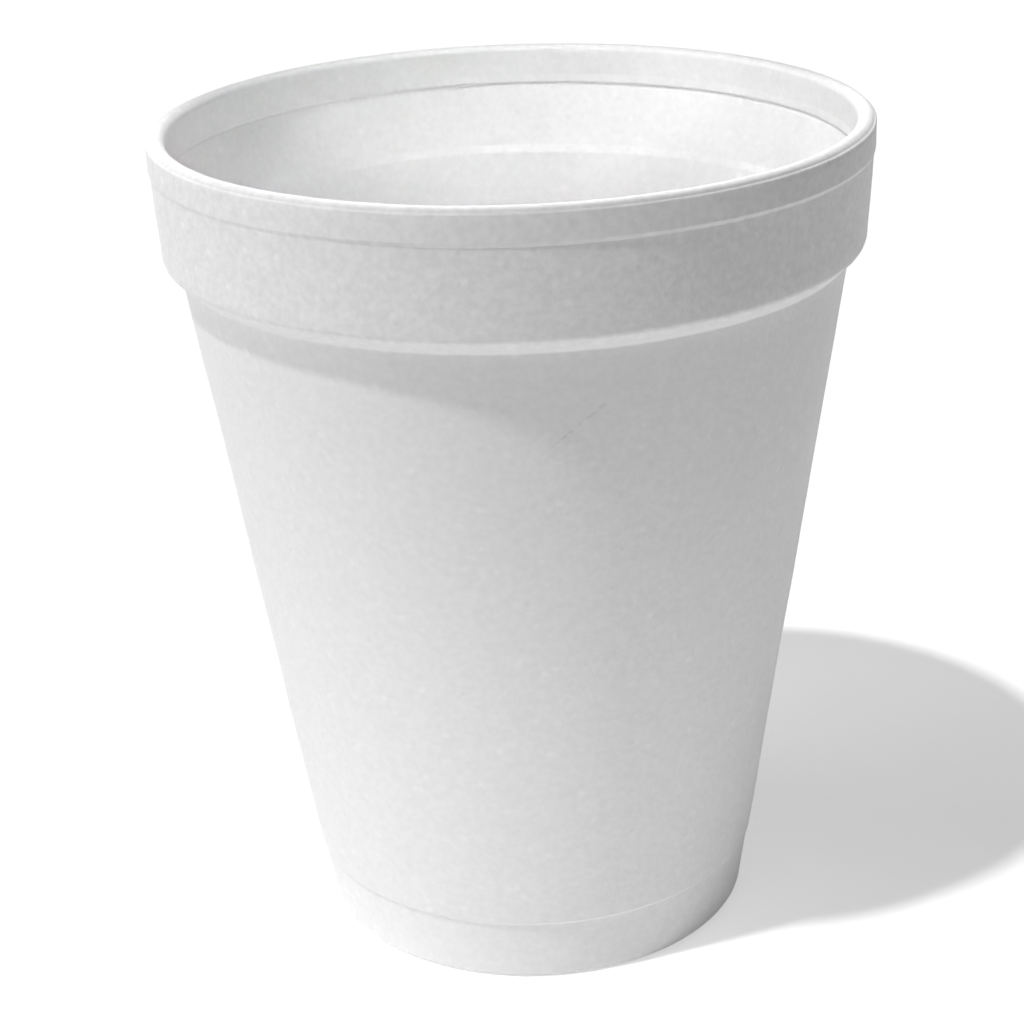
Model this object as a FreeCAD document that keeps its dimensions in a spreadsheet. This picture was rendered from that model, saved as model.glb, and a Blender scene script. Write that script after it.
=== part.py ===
import FreeCAD, Part
import os
import Sketcher

# A moulded bead-foam cup for about 240 ml of a hot drink, standing on its foot.
# The origin is the middle of the foot, on the table, and +Z points up through the mouth.
# Like the real cup it is one piece, made the way its mould makes it: a cavity gives the outside,
# a core gives the inside, and a shallow punch lifts the underside clear of the table.

# Driving dimensions in millimetres: name, value and what it measures.
DIMENSIONS = (
    # overall
    ("rim_radius", 40.0, "outer radius of the lip band"),
    ("base_radius", 25.3, "outer radius of the foot where it meets the table"),
    ("cup_height", 95.5, "table to the top of the lip"),
    # outside, from the lip down
    ("lip_depth", 3.9, "height of the band around the lip"),
    ("lip_proud", 0.35, "how far the lip band stands out from the collar"),
    ("crest_drop", 0.48, "top of the lip down to the mould line near its outer edge"),
    ("crest_run", 0.3, "slope of the crest above the mould line, measured outwards"),
    ("crest_round", 0.8, "rounding between the top of the lip and that slope"),
    ("shoulder_width", 0.25, "width of the fine shoulder outside the mould line"),
    ("shoulder_fall", 0.12, "fall of that shoulder to the lip band"),
    ("shoulder_round", 0.25, "rounding between the shoulder and the lip band"),
    ("collar_depth", 13.6, "top of the lip to the lower edge of the collar"),
    ("collar_taper", 0.55, "how much the collar narrows from the lip band down"),
    ("collar_round", 1.0, "rounding of the collar's lower edge"),
    ("bevel_width", 1.9, "step in from the collar to the body"),
    ("bevel_drop", 1.8, "height of that sloping step"),
    ("bevel_hollow", 0.5, "hollow rounding where the slope meets the body"),
    ("foot_height", 7.9, "table to the mould line above the foot"),
    ("foot_step", 0.2, "how far the body stands out from the foot band"),
    ("foot_round", 0.8, "rounding of the foot's outer edge"),
    # inside, from the lip down
    ("lip_wall", 2.1, "thickness of the lip"),
    ("lip_round", 0.9, "rounding of the lip's inner edge"),
    ("bead_depth", 4.5, "top of the lip to the lower edge of the inner bead"),
    ("bead_height", 0.9, "height of the inner bead"),
    ("bead_proud", 0.15, "how far the inner bead stands into the cup"),
    ("bead_round", 0.6, "soft bend where the lip's wall starts towards the inner bead"),
    ("groove_drop", 0.3, "inner bead down to the root of the groove under it"),
    ("groove_reach", 0.3, "how far the groove cuts back under the bead"),
    ("groove_rise", 0.5, "height of the groove's sloping lower side"),
    ("collar_wall", 2.2, "wall of the collar"),
    ("ledge_depth", 12.1, "top of the lip to the back of the inner ledge"),
    ("ledge_drop", 0.3, "fall of the ledge towards the middle of the cup"),
    ("ledge_round", 0.5, "rounding of the ledge's inner edge"),
    ("ledge_hollow", 0.25, "hollow rounding at the back of the ledge"),
    ("body_wall", 2.0, "wall of the body"),
    ("floor_wall", 2.8, "thickness of the floor"),
    ("floor_round", 2.5, "rounding between the floor and the wall inside"),
    # underside
    ("foot_width", 3.2, "width of the ring that the cup stands on"),
    ("recess_depth", 2.4, "height of the underside above the table"),
    ("recess_draft", 0.8, "slope of the recess wall, measured along the underside"),
    ("recess_round", 0.6, "rounding of the recess, at the ring and in its corner"),
    ("gate_radius", 4.5, "radius of the round mark left where the beads were blown in"),
    ("gate_drop", 0.35, "how far that mark stands down from the underside"),
    # on every fine step
    ("fine_round", 0.12, "rounding of the fine steps, where foam stops short of the mould's corners"),
)

# What follows from the driving dimensions, as expressions on the sheet named Sizes.
AXIS = "0"
TABLE = "0"

STEP_Z = "(Sizes.cup_height - Sizes.lip_depth)"
LIP_FOOT_Z = f"({STEP_Z} + Sizes.lip_proud)"
COLLAR_FOOT_Z = "(Sizes.cup_height - Sizes.collar_depth)"
BODY_TOP_Z = f"({COLLAR_FOOT_Z} - Sizes.bevel_drop)"
BODY_FOOT_Z = "(Sizes.foot_height + Sizes.foot_step)"

SHOULDER_Z = "(Sizes.cup_height - Sizes.crest_drop)"

MOULD_LINE_R = "(Sizes.rim_radius - Sizes.shoulder_width)"
CREST_EDGE_R = f"({MOULD_LINE_R} - Sizes.crest_run)"
COLLAR_TOP_R = "(Sizes.rim_radius - Sizes.lip_proud)"
COLLAR_FOOT_R = f"({COLLAR_TOP_R} - Sizes.collar_taper)"
BODY_TOP_R = f"({COLLAR_FOOT_R} - Sizes.bevel_width)"
BODY_START_R = "(Sizes.base_radius + Sizes.foot_step)"

FLOOR_Z = "(Sizes.recess_depth + Sizes.floor_wall)"
LEDGE_BACK_Z = "(Sizes.cup_height - Sizes.ledge_depth)"
LEDGE_EDGE_Z = f"({LEDGE_BACK_Z} - Sizes.ledge_drop)"
BEAD_FOOT_Z = "(Sizes.cup_height - Sizes.bead_depth)"
BEAD_TOP_Z = f"({BEAD_FOOT_Z} + Sizes.bead_height)"
GROOVE_Z = f"({BEAD_FOOT_Z} - Sizes.groove_drop)"
UPPER_WALL_TOP_Z = f"({GROOVE_Z} - Sizes.groove_rise)"

MOUTH_R = "(Sizes.rim_radius - Sizes.lip_wall)"
BEAD_FOOT_R = f"({MOUTH_R} - Sizes.bead_proud)"
GROOVE_R = f"({BEAD_FOOT_R} + Sizes.groove_reach)"
UPPER_WALL_TOP_R = f"({COLLAR_TOP_R} - Sizes.collar_wall)"

RECESS_MOUTH_R = "(Sizes.base_radius - Sizes.foot_width)"
RECESS_TOP_R = f"({RECESS_MOUTH_R} - Sizes.recess_draft)"
GATE_Z = "(Sizes.recess_depth - Sizes.gate_drop)"


def body_radius(height):
    """Outer radius of the body's cone at a height."""
    return f"({BODY_START_R} + ({BODY_TOP_R} - {BODY_START_R}) * ({height}) / {BODY_TOP_Z})"


def collar_radius(height):
    """Outer radius of the collar's cone at a height."""
    rise = f"(({height}) - {COLLAR_FOOT_Z}) / ({STEP_Z} - {COLLAR_FOOT_Z})"
    return f"({COLLAR_FOOT_R} + Sizes.collar_taper * {rise})"


def thinned(outer_radius, wall):
    """Inner radius that leaves a wall inside an outer radius."""
    return f"({outer_radius} - Sizes.{wall})"


# Corners of the three profiles, each a radius and a height, in order round the profile.
OUTSIDE = {
    "table_axis": (AXIS, TABLE),
    "foot_edge": ("Sizes.base_radius", TABLE),
    "foot_top": (f"({body_radius('Sizes.foot_height')} - Sizes.foot_step)", "Sizes.foot_height"),
    "body_foot": (body_radius(BODY_FOOT_Z), BODY_FOOT_Z),
    "body_top": (BODY_TOP_R, BODY_TOP_Z),
    "collar_foot": (COLLAR_FOOT_R, COLLAR_FOOT_Z),
    "collar_top": (COLLAR_TOP_R, STEP_Z),
    "lip_foot": ("Sizes.rim_radius", LIP_FOOT_Z),
    "shoulder_edge": ("Sizes.rim_radius", f"({SHOULDER_Z} - Sizes.shoulder_fall)"),
    "mould_line": (MOULD_LINE_R, SHOULDER_Z),
    "crest_edge": (CREST_EDGE_R, "Sizes.cup_height"),
    "top_axis": (AXIS, "Sizes.cup_height"),
}
INSIDE = {
    "floor_axis": (AXIS, FLOOR_Z),
    "floor_edge": (thinned(body_radius(FLOOR_Z), "body_wall"), FLOOR_Z),
    "ledge_edge": (thinned(body_radius(LEDGE_EDGE_Z), "body_wall"), LEDGE_EDGE_Z),
    "ledge_back": (thinned(collar_radius(LEDGE_BACK_Z), "collar_wall"), LEDGE_BACK_Z),
    "upper_wall_top": (UPPER_WALL_TOP_R, UPPER_WALL_TOP_Z),
    "groove_root": (GROOVE_R, GROOVE_Z),
    "bead_foot": (BEAD_FOOT_R, BEAD_FOOT_Z),
    "bead_top": (MOUTH_R, BEAD_TOP_Z),
    "mouth_edge": (MOUTH_R, "Sizes.cup_height"),
    "mouth_axis": (AXIS, "Sizes.cup_height"),
}
UNDERSIDE = {
    "recess_axis": (AXIS, TABLE),
    "recess_mouth": (RECESS_MOUTH_R, TABLE),
    "recess_corner": (RECESS_TOP_R, "Sizes.recess_depth"),
    "gate_corner": ("(Sizes.gate_radius + Sizes.gate_drop / 2)", "Sizes.recess_depth"),
    "gate_edge": ("Sizes.gate_radius", GATE_Z),
    "gate_axis": (AXIS, GATE_Z),
}


def make_sheet(doc):
    """Put the driving dimensions into the document's spreadsheet."""
    sheet = doc.addObject("Spreadsheet::Sheet", "Sizes")
    for row, (name, value, meaning) in enumerate(DIMENSIONS, start=1):
        sheet.set(f"A{row}", name)
        sheet.set(f"B{row}", str(value))
        sheet.setAlias(f"B{row}", name)
        sheet.set(f"C{row}", meaning)
    doc.recompute()
    return sheet


def measure(sheet, expression):
    """Value of an expression on the sheet, in millimetres."""
    return float(sheet.evalExpression(expression))


def draw_profile(body, sheet, name, corners):
    """Sketch a closed profile in the upright plane and tie each corner to the sheet."""
    sketch = body.newObject("Sketcher::SketchObject", name)
    upright = next(plane for plane in body.Origin.OriginFeatures if plane.Role == "XZ_Plane")
    sketch.AttachmentSupport = [(upright, "")]
    sketch.MapMode = "FlatFace"
    places = [(measure(sheet, radius), measure(sheet, height)) for radius, height in corners.values()]
    for index, start in enumerate(places):
        end = places[(index + 1) % len(places)]
        line = Part.LineSegment(FreeCAD.Vector(*start, 0), FreeCAD.Vector(*end, 0))
        sketch.addGeometry(line, False)
    for index in range(len(places)):
        following = (index + 1) % len(places)
        sketch.addConstraint(Sketcher.Constraint("Coincident", index, 2, following, 1))
    for index, (corner, (radius, height)) in enumerate(corners.items()):
        hold(sketch, sheet, index, "DistanceX", f"{corner}_radius", radius)
        hold(sketch, sheet, index, "DistanceY", f"{corner}_height", height)
    check_object(sketch)
    return sketch


def hold(sketch, sheet, index, direction, name, expression):
    """Fix one coordinate of a line's first point: on its axis, or at a named distance from it."""
    distance = measure(sheet, expression)
    if distance == 0:
        axis = -2 if direction == "DistanceX" else -1
        sketch.addConstraint(Sketcher.Constraint("PointOnObject", index, 1, axis))
        return
    constraint = sketch.addConstraint(Sketcher.Constraint(direction, -1, 1, index, 1, distance))
    sketch.renameConstraint(constraint, name)
    sketch.setExpression(f"Constraints.{name}", expression)


def check_object(item):
    """Stop if an object of the document has failed."""
    item.Document.recompute()
    if "Invalid" in item.State or "Error" in item.State:
        raise RuntimeError(f"{item.Label} failed: {item.State}")


def turn(body, kind, name, profile):
    """Turn a profile once round the cup's axis, as added or as removed material."""
    before = body.Shape.Volume if body.Tip else 0.0
    feature = body.newObject(f"PartDesign::{kind}", name)
    feature.Profile = profile
    feature.ReferenceAxis = (profile, ["V_Axis"])
    feature.Angle = 360.0
    check_object(feature)
    grown = body.Shape.Volume - before
    if (grown > 0) != (kind == "Revolution"):
        raise RuntimeError(f"{name} changed the volume by {grown:.1f} cubic millimetres")
    return feature


def edge_at(shape, radius, height):
    """Name of the round edge at a radius and a height."""
    for number, edge in enumerate(shape.Edges, start=1):
        if not isinstance(edge.Curve, Part.Circle):
            continue
        if abs(edge.Curve.Radius - radius) < 1e-4 and abs(edge.Curve.Center.z - height) < 1e-4:
            return f"Edge{number}"
    raise RuntimeError(f"no round edge at radius {radius:.3f}, height {height:.3f}")


def round_edges(body, sheet, name, corners, radius):
    """Round the edges that the given corners of the profiles left."""
    base = body.Tip
    places = [(measure(sheet, across), measure(sheet, height)) for across, height in corners]
    edges = [edge_at(base.Shape, *place) for place in places]
    fillet = body.newObject("PartDesign::Fillet", name)
    fillet.Base = (base, edges)
    fillet.setExpression("Radius", radius)
    check_object(fillet)
    return fillet


def roundings():
    """Name, corners and radius of each rounding, from the lip down."""
    flat_top = f"({CREST_EDGE_R} - {MOUTH_R})"
    fine_steps = ("lip_foot", "collar_top", "foot_top", "body_foot")
    fine_grooves = ("bead_foot", "groove_root", "upper_wall_top")
    fine = [OUTSIDE[step] for step in fine_steps]
    fine += [INSIDE[groove] for groove in fine_grooves]
    fine += [UNDERSIDE["gate_corner"], UNDERSIDE["gate_edge"]]
    return (
        ("CrestRounding", [OUTSIDE["crest_edge"]], "Sizes.crest_round"),
        ("LipRounding", [INSIDE["mouth_edge"]], f"min(Sizes.lip_round; 0.58 * {flat_top})"),
        ("ShoulderRounding", [OUTSIDE["shoulder_edge"]], "Sizes.shoulder_round"),
        ("BeadRounding", [INSIDE["bead_top"]], "Sizes.bead_round"),
        ("LedgeHollow", [INSIDE["ledge_back"]], "Sizes.ledge_hollow"),
        ("LedgeRounding", [INSIDE["ledge_edge"]], "Sizes.ledge_round"),
        ("CollarRounding", [OUTSIDE["collar_foot"]], "Sizes.collar_round"),
        ("BevelHollow", [OUTSIDE["body_top"]], "Sizes.bevel_hollow"),
        ("FloorRounding", [INSIDE["floor_edge"]], "Sizes.floor_round"),
        ("FootRounding", [OUTSIDE["foot_edge"]], "Sizes.foot_round"),
        ("RecessRounding", [UNDERSIDE[c] for c in ("recess_mouth", "recess_corner")], "Sizes.recess_round"),
        ("FineRounding", fine, "Sizes.fine_round"),
    )


def make_cup(doc, sheet):
    """Build the cup: cavity, core, punch and roundings, in that order."""
    body = doc.addObject("PartDesign::Body", "foam_cup")
    body.Label = "foam_cup"
    doc.recompute()
    turn(body, "Revolution", "OutsideForm", draw_profile(body, sheet, "OutsideProfile", OUTSIDE))
    turn(body, "Groove", "Core", draw_profile(body, sheet, "CoreProfile", INSIDE))
    turn(body, "Groove", "Punch", draw_profile(body, sheet, "PunchProfile", UNDERSIDE))

    for name, corners, radius in roundings():
        round_edges(body, sheet, name, corners, radius)
    body.Placement = FreeCAD.Placement()
    doc.recompute()
    return body


def check_document(doc, bodies):
    """Stop if anything in the document failed or a body is not one sound solid."""
    for item in doc.Objects:
        check_object(item)
    for body in bodies:
        shape = body.Shape
        if shape.isNull() or not shape.isValid() or len(shape.Solids) != 1:
            raise RuntimeError(f"{body.Label} is not one valid solid")


def main():
    doc = FreeCAD.newDocument("FoamCup")
    sheet = make_sheet(doc)
    bodies = [make_cup(doc, sheet)]
    check_document(doc, bodies)
    os.makedirs("parts", exist_ok=True)
    for body in bodies:
        body.Shape.exportStep(f"parts/{body.Label}.step")
        box = body.Shape.optimalBoundingBox(False)
        size = f"{box.XLength:.2f} x {box.YLength:.2f} x {box.ZLength:.2f} mm"
        print(f"{body.Label}: {size}, {body.Shape.Volume / 1000:.2f} ml of foam")


main()
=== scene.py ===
# %% [markdown]
# # A foam cup
# A disposable cup moulded from expanded beads. It is one piece and one colour, so all of its
# character is in three things: the profile that the mould gave it, the bead pattern of its skin, and
# the way pale foam takes light. The cells below make them in that order.

# %% Load the frame
import math
from collections import namedtuple

import bpy
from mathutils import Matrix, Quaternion, Vector


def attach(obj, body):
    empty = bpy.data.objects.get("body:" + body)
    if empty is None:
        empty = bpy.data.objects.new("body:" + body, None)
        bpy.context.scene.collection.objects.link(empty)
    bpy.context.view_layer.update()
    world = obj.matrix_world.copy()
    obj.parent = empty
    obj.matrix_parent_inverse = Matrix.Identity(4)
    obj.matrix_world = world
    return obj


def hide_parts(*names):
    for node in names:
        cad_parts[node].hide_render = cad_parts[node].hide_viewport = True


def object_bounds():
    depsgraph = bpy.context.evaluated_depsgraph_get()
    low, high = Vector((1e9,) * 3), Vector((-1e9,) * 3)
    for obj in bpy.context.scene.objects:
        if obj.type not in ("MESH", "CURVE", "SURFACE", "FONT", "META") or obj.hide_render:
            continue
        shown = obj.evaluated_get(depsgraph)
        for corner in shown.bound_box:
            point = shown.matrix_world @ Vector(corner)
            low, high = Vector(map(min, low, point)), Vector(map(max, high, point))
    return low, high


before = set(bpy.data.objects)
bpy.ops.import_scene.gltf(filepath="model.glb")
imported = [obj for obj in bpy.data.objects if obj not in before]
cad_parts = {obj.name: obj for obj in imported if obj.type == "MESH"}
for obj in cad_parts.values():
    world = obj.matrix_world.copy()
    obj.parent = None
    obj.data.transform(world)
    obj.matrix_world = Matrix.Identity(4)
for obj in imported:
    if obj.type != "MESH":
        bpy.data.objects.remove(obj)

CAD_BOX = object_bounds()
MM = 0.001
rim_radius = CAD_BOX[1].x
cup_height = CAD_BOX[1].z
print(f"rim {2 * rim_radius / MM:.1f} mm across, cup {cup_height / MM:.1f} mm tall")

# %% [markdown]
# ## The outline
# A round cup can be raised ring by ring, or turned from an outline like a pot on a wheel. Turning
# is the better way here: a moulded profile has many small steps, and each corner is rounded once,
# on a flat line, before there are hundreds of points round it.
# The sizes are in the order of the mould: first what the cavity shapes outside, then what the core
# shapes inside, and last what the punch shapes underneath. The ledge and the groove inside are a
# little softer than on the drawing, because foam never quite fills such corners.

# %% Sizes outside, from the lip down
lip_depth = 3.9 * MM
lip_proud = 0.2 * MM
lip_slope = 0.45 * MM
crest_drop = 0.48 * MM
crest_run = 0.3 * MM
shoulder_width = 0.25 * MM
shoulder_fall = 0.12 * MM
collar_depth = 13.6 * MM
collar_taper = 0.55 * MM
bevel_width = 1.9 * MM
bevel_drop = 1.8 * MM
base_radius = 25.3 * MM
foot_height = 7.9 * MM
foot_step = 0.2 * MM

# %% Sizes inside, from the mouth down
lip_wall = 2.1 * MM
bead_depth = 4.5 * MM
bead_height = 0.9 * MM
bead_proud = 0.15 * MM
groove_drop = 0.3 * MM
groove_reach = 0.28 * MM
groove_rise = 0.4 * MM
collar_wall = 1.95 * MM
ledge_wall = 3.22 * MM
ledge_depth = 12.1 * MM
ledge_drop = 0.92 * MM
body_wall = 2.0 * MM
floor_wall = 2.8 * MM

# %% Sizes underneath: the ring that the cup stands on, and the round mark in the recess
foot_width = 3.2 * MM
recess_depth = 2.4 * MM
recess_draft = 0.8 * MM
gate_radius = 4.5 * MM
gate_drop = 0.35 * MM

# %% Heights and radii that follow from them
collar_top = cup_height - lip_depth
collar_foot = cup_height - collar_depth
body_top = collar_foot - bevel_drop
collar_top_radius = rim_radius - lip_proud
collar_foot_radius = collar_top_radius - collar_taper
body_top_radius = collar_foot_radius - bevel_width
foot_top = foot_height + foot_step
ledge_back = cup_height - ledge_depth
ledge_edge = ledge_back - ledge_drop
bead_foot = cup_height - bead_depth
groove_root = bead_foot - groove_drop
mouth_radius = rim_radius - lip_wall
floor_height = recess_depth + floor_wall


def body_radius(height):
    """Outer radius of the conical body at a height."""
    start = base_radius + foot_step
    return start + (body_top_radius - start) * height / body_top


def collar_radius(height):
    """Outer radius of the collar at a height."""
    rise = (height - collar_foot) / (collar_top - collar_foot)
    return collar_foot_radius + collar_taper * rise


print(f"body {2 * body_top_radius / MM:.1f} mm across under the collar, {body_top / MM:.1f} mm tall")

# %% [markdown]
# ## Corners and their roundings
# Each corner has a name, a radius, a height and a rounding. Foam fills a mould without quite
# reaching its sharp corners, so nothing on the cup is crisp: even the small steps have a rounding of
# a tenth of a millimetre, and those are what catch the light as thin bright lines.
# The corners go once round the wall, from the middle of the underside, up the outside, over the lip
# and down the inside to the middle of the floor.

# %% The corners
Corner = namedtuple("Corner", "name radius height rounding")

UNDERSIDE = (
    Corner("gate_middle", 0.0, recess_depth - gate_drop, 0.0),
    Corner("gate_edge", gate_radius, recess_depth - gate_drop, 0.12 * MM),
    Corner("gate_foot", gate_radius + gate_drop / 2, recess_depth, 0.15 * MM),
    Corner("recess_edge", base_radius - foot_width - recess_draft, recess_depth, 0.6 * MM),
    Corner("ring_inner_edge", base_radius - foot_width, 0.0, 0.6 * MM),
    Corner("ring_outer_edge", base_radius, 0.0, 0.8 * MM),
)
OUTSIDE = (
    Corner("foot_line", body_radius(foot_height) - foot_step, foot_height, 0.22 * MM),
    Corner("body_foot", body_radius(foot_top), foot_top, 0.22 * MM),
    Corner("body_top", body_top_radius, body_top, 0.5 * MM),
    Corner("collar_foot", collar_foot_radius, collar_foot, 1.0 * MM),
    Corner("collar_top", collar_top_radius, collar_top, 0.2 * MM),
    Corner("lip_foot", rim_radius, collar_top + lip_slope, 0.3 * MM),
    Corner("shoulder_edge", rim_radius, cup_height - crest_drop - shoulder_fall, 0.25 * MM),
    Corner("shoulder_back", rim_radius - shoulder_width, cup_height - crest_drop, 0.05 * MM),
    Corner("crest_outer_edge", rim_radius - shoulder_width - crest_run, cup_height, 0.8 * MM),
)
INSIDE = (
    Corner("crest_inner_edge", mouth_radius, cup_height, 0.9 * MM),
    Corner("bead_top", mouth_radius, bead_foot + bead_height, 0.6 * MM),
    Corner("bead_foot", mouth_radius - bead_proud, bead_foot, 0.15 * MM),
    Corner("groove_root", mouth_radius - bead_proud + groove_reach, groove_root, 0.08 * MM),
    Corner("groove_foot", collar_top_radius - collar_wall, groove_root - groove_rise, 0.1 * MM),
    Corner("ledge_back", collar_radius(ledge_back) - ledge_wall, ledge_back, 1.2 * MM),
    Corner("ledge_edge", body_radius(ledge_edge) - body_wall, ledge_edge, 1.2 * MM),
    Corner("floor_edge", body_radius(floor_height) - body_wall, floor_height, 2.5 * MM),
    Corner("floor_middle", 0.0, floor_height, 0.0),
)
CORNERS = UNDERSIDE + OUTSIDE + INSIDE
print(len(CORNERS), "corners, from", CORNERS[0].name, "to", CORNERS[-1].name)


# %% Draw the outline as a chain of points
def place_of(corner):
    """A corner's place in the upright plane."""
    return Vector((corner.radius, 0.0, corner.height))


def draw_outline(name, corners):
    """Start at the first corner and pull a line from corner to corner."""
    places = [place_of(corner) for corner in corners]
    bpy.ops.object.select_all(action="DESELECT")
    bpy.ops.mesh.primitive_plane_add(size=MM, location=(0.0, 0.0, 0.0))
    line = bpy.context.object
    line.name = name
    bpy.ops.object.mode_set(mode="EDIT")
    bpy.ops.mesh.merge(type="CENTER")
    bpy.ops.transform.translate(value=places[0])
    for here, there in zip(places, places[1:]):
        bpy.ops.mesh.extrude_vertices_move(TRANSFORM_OT_translate={"value": there - here})
    bpy.ops.object.mode_set(mode="OBJECT")
    return line


cup = draw_outline("foam_cup_skin", CORNERS)
print(len(cup.data.vertices), "points on the outline")

# %% Round the corners
SAME_PLACE = 0.001 * MM
FINE_ROUNDING = 0.3 * MM
FINE_STEPS = 3
BROAD_STEPS = 6


def pick(piece, test):
    """Select only the points whose place passes the test, and go into edit mode."""
    bpy.context.view_layer.objects.active = piece
    bpy.ops.object.mode_set(mode="EDIT")
    bpy.ops.mesh.select_mode(type="VERT")
    bpy.ops.mesh.select_all(action="DESELECT")
    bpy.ops.object.mode_set(mode="OBJECT")
    for point in piece.data.vertices:
        point.select = test(point.co)
    bpy.ops.object.mode_set(mode="EDIT")


def round_corner(piece, before, corner, after):
    """Cut a corner back along both of its sides, so that an arc of its rounding joins them."""
    a, b, c = (place_of(each) for each in (before, corner, after))
    cut = corner.rounding * math.tan((b - a).angle(c - b) / 2)
    steps = FINE_STEPS if corner.rounding < FINE_ROUNDING else BROAD_STEPS
    pick(piece, lambda place: (place - b).length < SAME_PLACE)
    bpy.ops.mesh.bevel(offset=cut, segments=steps, profile=0.5, affect="VERTICES", clamp_overlap=False)
    bpy.ops.object.mode_set(mode="OBJECT")


for before, corner, after in zip(CORNERS, CORNERS[1:], CORNERS[2:]):
    round_corner(cup, before, corner, after)
print(len(cup.data.vertices), "points once the corners are round")

# %% [markdown]
# ## Rows for the relief
# The skin's relief needs points to move, so the long straight stretches are halved until no gap is
# much wider than a bead. The outside and the upper inside get the finest rows; the lower inside, the
# floor and the underside, which are seen from further off, get coarser ones.

# %% Halve the long stretches
FINE_GAP = 1.15 * MM
INSIDE_GAP = 1.9 * MM
FLOOR_GAP = 2.2 * MM


def widest_gap(place):
    """Longest stretch allowed at a place on the outline."""
    if place.x < base_radius - foot_width:
        return FLOOR_GAP
    inside = place.x < body_radius(place.z) - body_wall / 2 and place.z > recess_depth
    if inside and place.z < ledge_edge:
        return INSIDE_GAP
    return FINE_GAP


def long_edges(piece):
    """Numbers of the edges that are longer than their place allows."""
    places = [point.co.copy() for point in piece.data.vertices]
    found = []
    for edge in piece.data.edges:
        a, b = (places[i] for i in edge.vertices)
        if (a - b).length > widest_gap((a + b) / 2):
            found.append(edge.index)
    return found


def halve_long_stretches(piece):
    """Split every edge that is too long in two, until none is left."""
    while indices := long_edges(piece):
        bpy.ops.object.mode_set(mode="EDIT")
        bpy.ops.mesh.select_all(action="DESELECT")
        bpy.ops.mesh.select_mode(type="EDGE")
        bpy.ops.object.mode_set(mode="OBJECT")
        for index in indices:
            piece.data.edges[index].select = True
        bpy.ops.object.mode_set(mode="EDIT")
        bpy.ops.mesh.subdivide(number_cuts=1)
        bpy.ops.object.mode_set(mode="OBJECT")


halve_long_stretches(cup)
print(len(cup.data.vertices), "points with rows for the relief")

# %% [markdown]
# ## Turn the cup
# One spin takes the outline round its axis. The first and last copies fall on each other, and so do
# the points on the axis, so doubles are merged, and then the faces are told which side is out.

# %% Spin, merge and face outwards
TURN_STEPS = 288
MERGE_DISTANCE = 0.002 * MM


def turn(piece, steps):
    """Spin the outline round the upright axis into a closed skin."""
    bpy.context.view_layer.objects.active = piece
    bpy.ops.object.mode_set(mode="EDIT")
    bpy.ops.mesh.select_mode(type="VERT")
    bpy.ops.mesh.select_all(action="SELECT")
    bpy.ops.mesh.spin(steps=steps, angle=2 * math.pi, center=(0.0, 0.0, 0.0), axis=(0.0, 0.0, 1.0))
    bpy.ops.mesh.select_all(action="SELECT")
    bpy.ops.mesh.remove_doubles(threshold=MERGE_DISTANCE)
    bpy.ops.mesh.normals_make_consistent(inside=False)
    bpy.ops.object.mode_set(mode="OBJECT")


turn(cup, TURN_STEPS)
print(len(cup.data.polygons), "faces on the cup")

# %% [markdown]
# ## The skin's relief
# Beads swell against the mould and leave a skin of low domes with fine joints between them. Two
# displacements make it in the mesh: slow swells, because a foam wall is never quite true, and the
# groups of beads. The finest beads are smaller than a row, so the material's bump makes those.

# %% Swells and bead groups
SWELL_SIZE = 22 * MM
SWELL_HEIGHT = 0.35 * MM
GROUP_SIZE = 2.4 * MM
GROUP_DEPTH = 0.03 * MM


def displace(piece, texture, strength, direction):
    """Move the skin by a texture and keep the result in the mesh."""
    bpy.ops.object.select_all(action="DESELECT")
    piece.select_set(True)
    bpy.context.view_layer.objects.active = piece
    step = piece.modifiers.new(texture.name, "DISPLACE")
    step.texture = texture
    step.texture_coords = "LOCAL"
    step.direction = direction
    step.mid_level = 0.5
    step.strength = strength
    bpy.ops.object.modifier_apply(modifier=step.name)


swell = bpy.data.textures.new("foam_swell", "CLOUDS")
swell.noise_scale = SWELL_SIZE
displace(cup, swell, SWELL_HEIGHT, "X")

groups = bpy.data.textures.new("bead_groups", "VORONOI")
groups.noise_scale = GROUP_SIZE
displace(cup, groups, -GROUP_DEPTH, "NORMAL")

bpy.ops.object.shade_smooth()
triangles = sum(len(face.vertices) - 2 for face in cup.data.polygons)
print("relief in the mesh:", len(cup.data.vertices), "points,", triangles, "triangles")

# %% [markdown]
# ## Foam
# The colour is an even, slightly grey white. What shows at arm's length is a mottle: a few beads
# are lighter or darker than the rest, and a fine grain runs over all of them. The same patterns
# drive the colour and the bump, so that the two agree. The collar shows its beads more than the
# body does, so everything is stronger there. Foam is matt: its roughness and its weak gloss are the
# same all over, and are set on the shader itself.

# %% Helpers for materials
def link(material, source, output, target, target_input):
    """Join two nodes."""
    material.node_tree.links.new(source.outputs[output], target.inputs[target_input])


def pattern(material, kind, scale, place, **settings):
    """A Voronoi or Noise pattern with so many cells to the metre, on the cup's own coordinates."""
    node = material.node_tree.nodes.new(f"ShaderNodeTex{kind}")
    node.inputs["Scale"].default_value = scale
    for name, value in settings.items():
        node.inputs[name].default_value = value
    link(material, place, "Object", node, "Vector")
    return node


def spread(material, source, output, low, high, at_low=0.0, at_high=1.0):
    """Map a signal from low..high to at_low..at_high, smoothly and without running past either."""
    node = material.node_tree.nodes.new("ShaderNodeMapRange")
    node.interpolation_type = "SMOOTHSTEP"
    for name, value in (("From Min", low), ("From Max", high), ("To Min", at_low), ("To Max", at_high)):
        node.inputs[name].default_value = value
    link(material, source, output, node, "Value")
    return node


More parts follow.
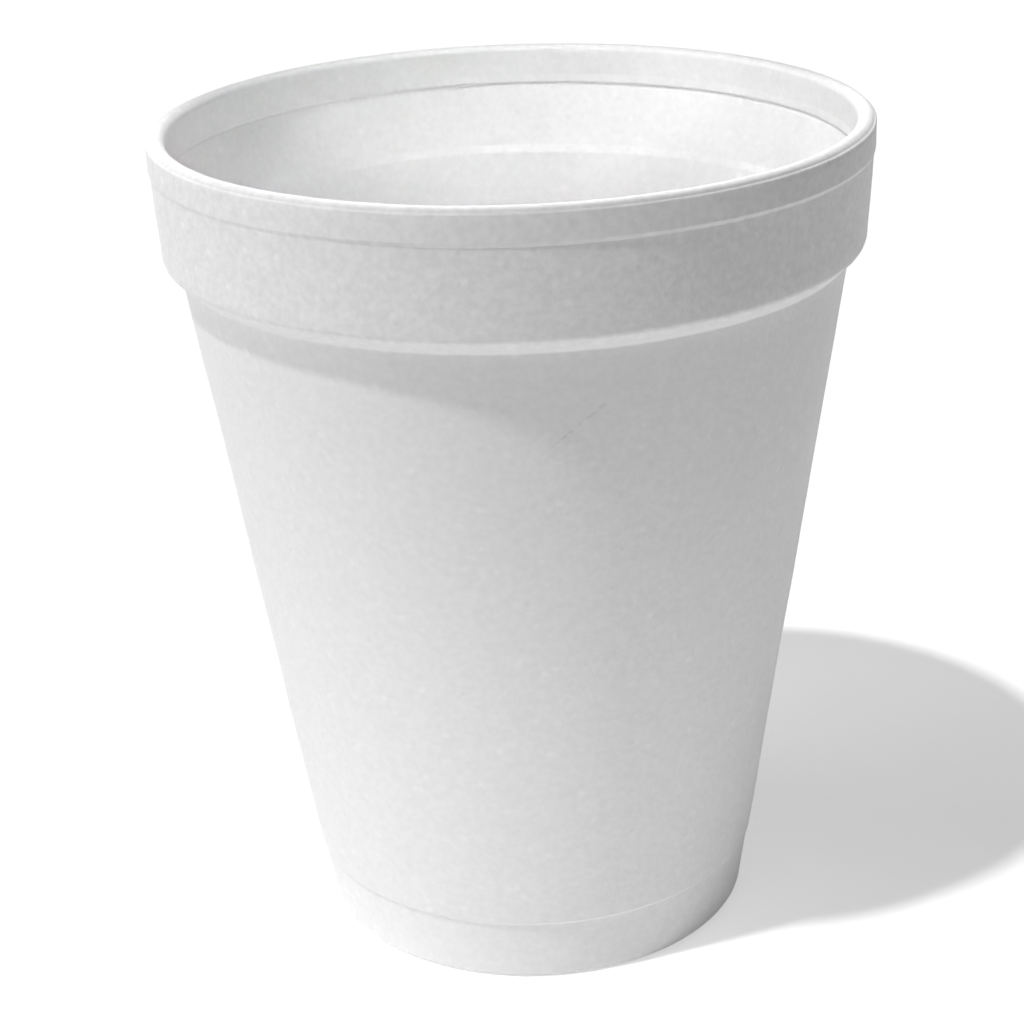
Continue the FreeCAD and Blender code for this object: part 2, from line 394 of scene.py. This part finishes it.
def calculate(material, operation, *operands):
    """A Math node; each operand is a number or a node's first output."""
    node = material.node_tree.nodes.new("ShaderNodeMath")
    node.operation = operation
    for index, operand in enumerate(operands):
        if isinstance(operand, (int, float)):
            node.inputs[index].default_value = operand
        else:
            material.node_tree.links.new(operand.outputs[0], node.inputs[index])
    return node


# %% [markdown]
# ### Places on the cup
# Three things depend on where a point lies: how strongly the beads show, which is more on the collar
# and the lip; the groove inside the mouth, whose shade is painted into the colour; and one thin
# scratch on the front of the body, whose crease shade is painted too. Each is a signal worked out from
# the point's own coordinates.

# %% Distance from the axis, and the groove
# Painted shade in the groove: full near its root, fading out further off, and only on the mouth wall.
SHADE_CORE = 0.1 * MM
SHADE_EDGE = 0.25 * MM
MOUTH_WALL_INNER = 38.3 * MM
MOUTH_WALL_OUTER = 38.6 * MM


def radius_of(material, place):
    """Distance from the cup's axis."""
    flat = material.node_tree.nodes.new("ShaderNodeVectorMath")
    flat.operation = "MULTIPLY"
    flat.inputs[1].default_value = (1, 1, 0)
    link(material, place, "Object", flat, 0)
    radius = material.node_tree.nodes.new("ShaderNodeVectorMath")
    radius.operation = "LENGTH"
    link(material, flat, "Vector", radius, 0)
    return radius


def groove_shading_mask(material, place, radius):
    """Painted shade: 1 in the groove under the bead inside the mouth, 0 elsewhere."""
    parts = material.node_tree.nodes.new("ShaderNodeSeparateXYZ")
    link(material, place, "Object", parts, "Vector")
    height = calculate(material, "SUBTRACT", 0.0, groove_root)
    link(material, parts, "Z", height, 0)
    gap = calculate(material, "ABSOLUTE", height)
    near = spread(material, gap, "Value", SHADE_CORE, SHADE_EDGE, 1.0, 0.0)
    inside = spread(material, radius, "Value", MOUTH_WALL_INNER, MOUTH_WALL_OUTER, 1.0, 0.0)
    return calculate(material, "MULTIPLY", near, inside)


# %% The scratch
# The scratch is a fine crease, and its shade is painted into the colour.
SCRATCH_PLACE = (6.1 * MM, -35.6 * MM, 72.1 * MM)
SCRATCH_SLANT = math.radians(-39)
SCRATCH_HALF_SIZES = (4.9 * MM, 1.2 * MM, 0.2 * MM)


def scratch_shading_mask(material, place):
    """Painted shade of a fine crease: 1 inside a thin slanting stroke on the front of the body, 0 round
    it.
    """
    stroke = material.node_tree.nodes.new("ShaderNodeMapping")
    stroke.vector_type = "TEXTURE"
    stroke.inputs["Location"].default_value = SCRATCH_PLACE
    stroke.inputs["Rotation"].default_value = (0, SCRATCH_SLANT, 0)
    stroke.inputs["Scale"].default_value = SCRATCH_HALF_SIZES
    link(material, place, "Object", stroke, "Vector")
    size = material.node_tree.nodes.new("ShaderNodeVectorMath")
    size.operation = "ABSOLUTE"
    link(material, stroke, "Vector", size, 0)
    parts = material.node_tree.nodes.new("ShaderNodeSeparateXYZ")
    link(material, size, "Vector", parts, "Vector")
    along, across, deep = (spread(material, parts, axis, 0.4, 1.0, 1.0, 0.0) for axis in "XYZ")
    return calculate(material, "MULTIPLY", calculate(material, "MULTIPLY", along, across), deep)


# %% [markdown]
# ### Beads and grain
# A Voronoi pattern divides the skin into cells, which is just how beads fill a mould. The distance
# from a cell's middle makes the bead's dome, and the random colour of each cell picks the few odd
# beads. Noise makes the grain and the mottle, and a noise that swings evenly about zero leaves the
# foam's mean tone as it is.

# %% The bead and noise signals
BEADS_PER_METRE = 1100
GRAINS_PER_METRE = 1250
MOTTLES_PER_METRE = 600
ODD_BEADS = 0.9


def make_beads(foam, place):
    """The dome of every bead, the few light beads and the few dark ones."""
    bead = pattern(foam, "Voronoi", BEADS_PER_METRE, place)
    number = foam.node_tree.nodes.new("ShaderNodeSeparateColor")
    link(foam, bead, "Color", number, "Color")
    dome = spread(foam, bead, "Distance", 0.1, 0.75, 1.0, 0.0)
    core = spread(foam, bead, "Distance", 0.1, 0.5, 1.0, 0.0)
    light = calculate(foam, "MULTIPLY", dome, spread(foam, number, "Green", ODD_BEADS, 1.0))
    dark = calculate(foam, "MULTIPLY", core, spread(foam, number, "Red", ODD_BEADS, 1.0))
    return dome, light, dark


def swing(foam, noise, low, high):
    """A noise that swings evenly about zero."""
    return calculate(foam, "SUBTRACT", spread(foam, noise, "Fac", low, high), 0.5)


# %% The colour
FOAM_TONE = 0.905
LIGHT_BEADS = 0.11
DARK_BEADS = -0.08
GRAIN_CONTRAST = 0.08
MOTTLE_CONTRAST = 0.028
# Painted shade: SCRATCH_SHADE darkens the scratch's crease and GROOVE_SHADE darkens the groove inside
# the mouth.
SCRATCH_SHADE = -0.09
GROOVE_SHADE = -0.06


def make_tone(foam, light, dark, grains, mottle, coarse, scratch_shading, groove_shading):
    """Add beads, grain and mottle to the foam's own tone, then paint shade into the scratch and the
    groove.
    """
    tone = calculate(foam, "MULTIPLY", light, LIGHT_BEADS)
    tone = calculate(foam, "MULTIPLY_ADD", dark, DARK_BEADS, tone)
    tone = calculate(foam, "MULTIPLY_ADD", grains, GRAIN_CONTRAST, tone)
    tone = calculate(foam, "MULTIPLY_ADD", mottle, MOTTLE_CONTRAST, tone)
    tone = calculate(foam, "MULTIPLY_ADD", tone, coarse, FOAM_TONE)
    tone = calculate(foam, "MULTIPLY_ADD", scratch_shading, SCRATCH_SHADE, tone)
    return calculate(foam, "MULTIPLY_ADD", groove_shading, GROOVE_SHADE, tone)


# %% The bump
BUMP_HEIGHT = 0.011 * MM
GRAIN_RELIEF = 2.0
DARK_BEAD_RELIEF = -1.5


def make_bump(foam, dome, dark, grains, coarse):
    """Domes with grain over them, and the dark beads sunk a little."""
    height = calculate(foam, "MULTIPLY_ADD", grains, GRAIN_RELIEF, dome)
    height = calculate(foam, "MULTIPLY_ADD", dark, DARK_BEAD_RELIEF, height)
    height = calculate(foam, "MULTIPLY", height, coarse)
    bump = foam.node_tree.nodes.new("ShaderNodeBump")
    bump.inputs["Strength"].default_value = 1.0
    bump.inputs["Distance"].default_value = BUMP_HEIGHT
    link(foam, height, "Value", bump, "Height")
    return bump


# %% Put the foam together
COLLAR_GRAIN = 0.8
BODY_GRAIN = 0.45
BODY_REACH = 38.0 * MM
COLLAR_REACH = 38.6 * MM


def make_foam():
    """White bead foam: light and dark beads, grain, a mottle, and painted shade in the groove and in
    one scratch.
    """
    foam = bpy.data.materials.new("bead_foam")
    foam.use_nodes = True
    skin = foam.node_tree.nodes["Principled BSDF"]
    place = foam.node_tree.nodes.new("ShaderNodeTexCoord")
    radius = radius_of(foam, place)
    coarse = spread(foam, radius, "Value", BODY_REACH, COLLAR_REACH, BODY_GRAIN, COLLAR_GRAIN)

    dome, light, dark = make_beads(foam, place)
    grain = pattern(foam, "Noise", GRAINS_PER_METRE, place, Detail=1.0, Roughness=0.6)
    grains = swing(foam, grain, 0.25, 0.75)
    mottle = swing(foam, pattern(foam, "Noise", MOTTLES_PER_METRE, place, Detail=1.0), 0.3, 0.7)
    # The grain breaks the scratch's painted shade into gaps.
    scratch_gaps = spread(foam, grain, "Fac", 0.6, 0.4)
    scratch_shading = calculate(foam, "MULTIPLY", scratch_shading_mask(foam, place), scratch_gaps)
    # Painted shade in the groove under the bead inside the mouth.
    groove_shading = groove_shading_mask(foam, place, radius)

    tone = make_tone(foam, light, dark, grains, mottle, coarse, scratch_shading, groove_shading)
    link(foam, tone, "Value", skin, "Base Color")
    link(foam, make_bump(foam, dome, dark, grains, coarse), "Normal", skin, "Normal")
    skin.inputs["Roughness"].default_value = 0.6
    skin.inputs["Specular IOR Level"].default_value = 0.25
    return foam


cup.data.materials.append(make_foam())
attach(cup, "root")
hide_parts("foam_cup")
print("foam made of", len(cup.data.materials[0].node_tree.nodes), "nodes")

# %% [markdown]
# ## The floor
# A plain pale floor, wide enough to fill every view. The lamps light it as they light the cup, and
# to the camera alone it is a clean white, on which the cup keeps its shadow.

# %% Floor
FLOOR_SIZE = 8.0
FLOOR_TONE = 0.95
FLOOR_LIFT = 0.45
WHITE = (1, 1, 1, 1)


def seen(target):
    """A signal of 1 for rays from the camera, a mirror or glass, and 0 for light on the cup."""
    ray = target.node_tree.nodes.new("ShaderNodeLightPath")
    total = 0.0
    for kind in ("Is Camera Ray", "Is Glossy Ray", "Is Transmission Ray"):
        step = calculate(target, "MAXIMUM", 0.0, total)
        link(target, ray, kind, step, 0)
        total = step
    return total


def make_floor():
    """A wide white floor at the cup's foot."""
    bpy.ops.object.select_all(action="DESELECT")
    bpy.ops.mesh.primitive_plane_add(size=FLOOR_SIZE, location=(0.0, 0.0, 0.0))
    floor = bpy.context.object
    floor.name = "floor"
    paint = bpy.data.materials.new("pale_floor")
    paint.use_nodes = True
    surface = paint.node_tree.nodes["Principled BSDF"]
    surface.inputs["Base Color"].default_value = (FLOOR_TONE, FLOOR_TONE, FLOOR_TONE, 1)
    surface.inputs["Roughness"].default_value = 0.9
    surface.inputs["Specular IOR Level"].default_value = 0.0
    surface.inputs["Emission Color"].default_value = WHITE
    lift = calculate(paint, "MULTIPLY", seen(paint), FLOOR_LIFT)
    link(paint, lift, "Value", surface, "Emission Strength")
    floor.data.materials.append(paint)
    return floor


print("floor", make_floor().dimensions.x, "m wide")

# %% [markdown]
# ## Light
# White foam shows its form only in soft changes of tone, so each lamp has one job, and the sky, which
# is there for the camera to see, adds no light. A high key lamp on the left draws the shadow under
# the collar. A broad screen at the left and a weaker one behind on the right shape the sides, and
# two low cards brighten the foot, as a pale table would. Four lamps behind grids shine only into the
# mouth: a grid lets light out in one direction, so the inside is bright and the outside keeps
# its shades. The large lamps are suns, whose light is as strong on the near side as on the far one.

# %% Placing a lamp
MIDDLE = Vector((0.0, 0.0, cup_height / 2))


def toward(azimuth, elevation):
    """Direction from the cup: azimuth 0 is towards the camera, positive to the right."""
    a, e = math.radians(azimuth), math.radians(elevation)
    return Vector((math.sin(a) * math.cos(e), -math.cos(a) * math.cos(e), math.sin(e)))


def lamp(kind, name, place, aim, strength):
    """A lamp at a place, turned to the point that it is aimed at."""
    data = bpy.data.lights.new(name, kind)
    data.energy = strength
    light = bpy.data.objects.new(name, data)
    bpy.context.scene.collection.objects.link(light)
    light.location = place
    light.rotation_euler = (place - aim).to_track_quat("Z", "Y").to_euler()
    light.visible_camera = False
    return data


# %% Key lamp and screens: azimuth, elevation and softness in degrees, then strength
SUN_DISTANCE = 0.8
SUNS = (
    ("key", -51, 66, 2.5, 1.74),
    ("left_screen", -90, 18, 50, 1.21),
    ("right_back_screen", 135, 18, 50, 0.36),
)
for name, azimuth, elevation, softness, strength in SUNS:
    sun = lamp("SUN", name, MIDDLE + toward(azimuth, elevation) * SUN_DISTANCE, MIDDLE, strength)
    sun.angle = math.radians(softness)
print(len(SUNS), "suns")

# %% Low cards: azimuth in degrees, then strength in watts
CARD_DISTANCE = 90 * MM
CARD_WIDTH = 160 * MM
CARD_HEIGHT = 24 * MM
CARDS = (("left_card", -20, 0.0108), ("right_card", 40, 0.0072))
low = Vector((0.0, 0.0, 13 * MM))
for name, azimuth, strength in CARDS:
    card = lamp("AREA", name, toward(azimuth, 0) * CARD_DISTANCE + low, low * 2, strength)
    card.shape = "RECTANGLE"
    card.size = CARD_WIDTH
    card.size_y = CARD_HEIGHT
print(len(CARDS), "cards")

# %% Gridded lamps: azimuth and elevation in degrees, width, height and shift in mm, then watts
GRID_DISTANCE = 300 * MM
GRID_SPREAD = math.radians(1)
GRIDDED = (
    ("mouth_left", -20, 20, 70, 24, 8, 0.0007),
    ("mouth_front", 20, 20, 70, 24, 8, 0.0008),
    ("mouth_right", 55, 20, 70, 24, 8, 0.0004),
    ("mouth_back", 180, 45, 82, 52, 6, 0.006),
)
for name, azimuth, elevation, width, height, shift, strength in GRIDDED:
    aim = Vector((0.0, 0.0, cup_height)) - toward(azimuth, 0) * shift * MM
    tube = lamp("AREA", name, aim + toward(azimuth, elevation) * GRID_DISTANCE, aim, strength)
    tube.shape = "ELLIPSE"
    tube.size = width * MM
    tube.size_y = height * MM
    tube.spread = GRID_SPREAD
print(len(GRIDDED), "gridded lamps")

# %% Sky
world = bpy.data.worlds.new("studio")
bpy.context.scene.world = world
world.use_nodes = True
sky = world.node_tree.nodes["Background"]
sky.inputs["Color"].default_value = WHITE
link(world, seen(world), "Value", sky, "Strength")
bpy.context.scene.view_settings.view_transform = "Standard"

# %% [markdown]
# ## Camera
# The camera stands only a quarter of a metre away and a little above the rim. From so near, the mouth
# looks wide and the foot narrow, and the eye looks over the front lip on to the far wall. It leans
# over by two degrees, as a camera held in the hand does.

# %% Camera
camera_distance = 252.6 * MM
camera_height = 152.5 * MM
camera_lens = 81.4
look_down = math.radians(22.48)
look_left = math.radians(0.33)
lean = math.radians(-2.14)

camera_data = bpy.data.cameras.new("camera")
camera_data.lens = camera_lens
camera_data.clip_start = 10 * MM
camera = bpy.data.objects.new("camera", camera_data)
bpy.context.scene.collection.objects.link(camera)
camera.location = (0.0, -camera_distance, camera_height)
ahead = Vector((
    -math.sin(look_left) * math.cos(look_down),
    math.cos(look_left) * math.cos(look_down),
    -math.sin(look_down),
))
camera.rotation_mode = "QUATERNION"
camera.rotation_quaternion = ahead.to_track_quat("-Z", "Y") @ Quaternion((0.0, 0.0, 1.0), lean)
bpy.context.scene.camera = camera
print(f"camera {camera_distance / MM:.0f} mm in front and {camera_height / MM:.0f} mm up")
